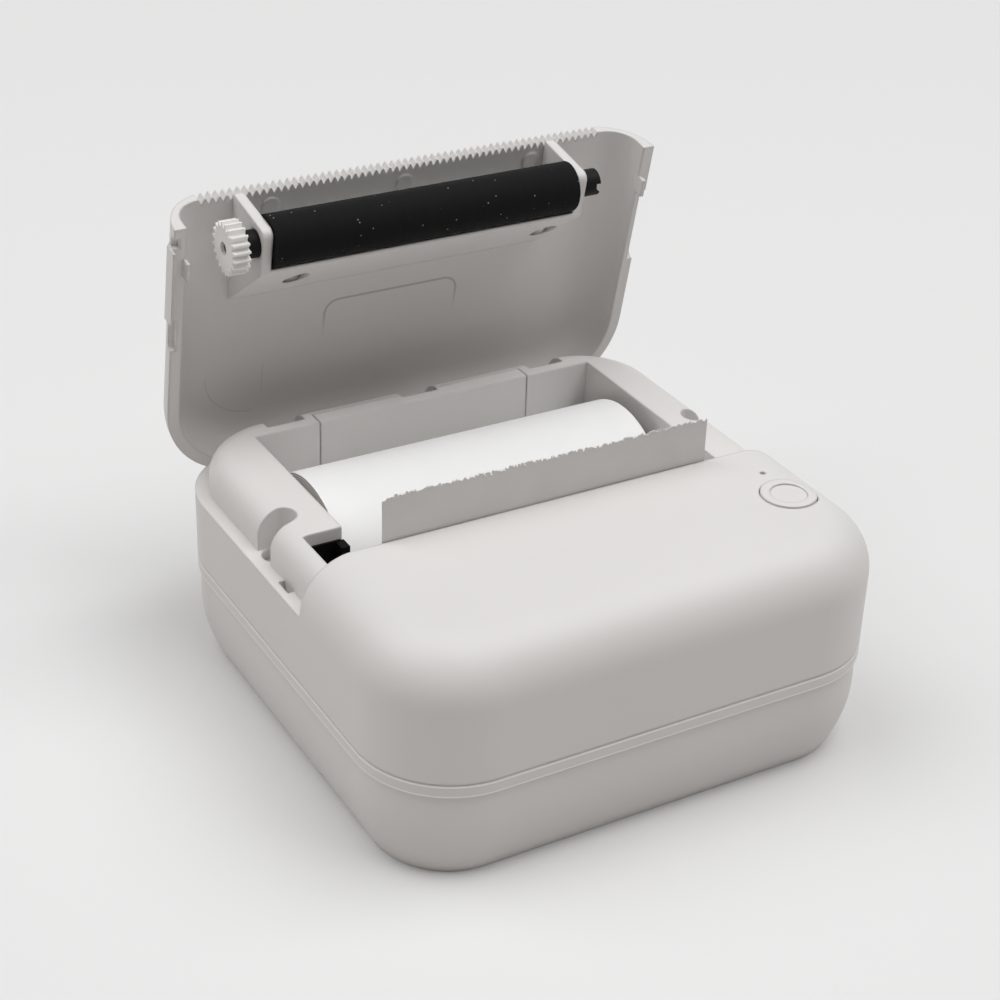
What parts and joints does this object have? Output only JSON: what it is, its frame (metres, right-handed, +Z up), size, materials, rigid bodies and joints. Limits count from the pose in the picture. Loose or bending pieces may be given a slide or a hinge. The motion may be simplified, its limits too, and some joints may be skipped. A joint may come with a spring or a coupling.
{
  "type": "pocket printer",
  "caption": "Square pocket thermal printer with rounded edges, its hinged paper cover open over the roll, a platen roller in the cover and a paper strip at the mouth.",
  "frame": {"origin": "centre of the flat base, on the surface it stands on", "axes": "+X along the platen to the right, +Y to the hinge at the back, +Z up"},
  "size_m": [0.0861, 0.0926, 0.0754],
  "materials": {
    "white_abs": "fine matt moulded ABS",
    "button_white": "satin moulded ABS",
    "steel": "bright drawn steel",
    "screw_steel": "zinc plated steel",
    "black_plastic": "matt black moulding",
    "motor_can": "nickel plated can",
    "gear_nylon": "natural acetal",
    "head_ceramic": "glazed alumina strip",
    "sink_aluminium": "plain pressed aluminium",
    "board": "green solder mask",
    "battery_wrap": "silver laminate pouch",
    "socket_shell": "drawn steel shell",
    "lens_clear": "clear moulded light pipe",
    "thermal_paper": "smooth coated thermal paper",
    "core_plastic": "extruded plastic core",
    "platen_rubber": "ground silicone rubber"
  },
  "bodies": {
    "case": {"lower_shell": "white_abs", "upper_shell": "white_abs", "hinge_cover": "white_abs", "paper_bin": "white_abs", "hinge_pin": "steel", "mech_chassis": "black_plastic", "feed_motor": "motor_can", "idler_post": "steel", "print_head": "head_ceramic", "head_sink": "sink_aluminium", "head_springs": "steel", "circuit_board": "board", "battery": "battery_wrap", "usb_board": "board", "usb_socket": "socket_shell", "button_board": "board", "button_switch": "black_plastic", "indicator_lens": "lens_clear", "paper_web": "thermal_paper", "case_screws": "screw_steel"},
    "cover": {"top_cover": "white_abs", "platen_bracket": "white_abs", "bracket_screws": "screw_steel", "platen_bushes": "black_plastic"},
    "platen": {"platen_rubber": "platen_rubber", "platen_shaft": "steel", "platen_gear": "gear_nylon"},
    "roll": {"paper_roll": "thermal_paper", "roll_core": "core_plastic"},
    "pinion": {"motor_shaft": "steel", "motor_pinion": "gear_nylon"},
    "idler": {"idler_gear": "gear_nylon"},
    "button": {"power_button": "button_white"}
  },
  "joints": [
    {"name": "cover_hinge", "type": "hinge", "parent": "case", "child": "cover", "pos_m": [0, 0.03984, 0.02662], "axis": [1, 0, 0], "range_deg": [0, 78.5]},
    {"name": "platen_spin", "type": "hinge", "parent": "cover", "child": "platen", "pos_m": [0, 0.03197, 0.07005], "axis": [1, 0, 0], "continuous": true},
    {"name": "roll_spin", "type": "hinge", "parent": "case", "child": "roll", "pos_m": [0, 0.0176, 0.0201], "axis": [1, 0, 0], "continuous": true},
    {"name": "motor_spin", "type": "hinge", "parent": "case", "child": "pinion", "pos_m": [0, -0.01153, 0.0153], "axis": [1, 0, 0], "continuous": true},
    {"name": "idler_spin", "type": "hinge", "parent": "case", "child": "idler", "pos_m": [0, -0.00703, 0.02129], "axis": [1, 0, 0], "continuous": true},
    {"name": "button_press", "type": "slide", "parent": "case", "child": "button", "axis": [0, 0, -1], "range_m": [0, 0.0005], "stiffness_N_per_m": 400}
  ],
  "couplings": [
    {"joint": "idler_spin", "follows": "motor_spin", "ratio": -0.35714}
  ]
}
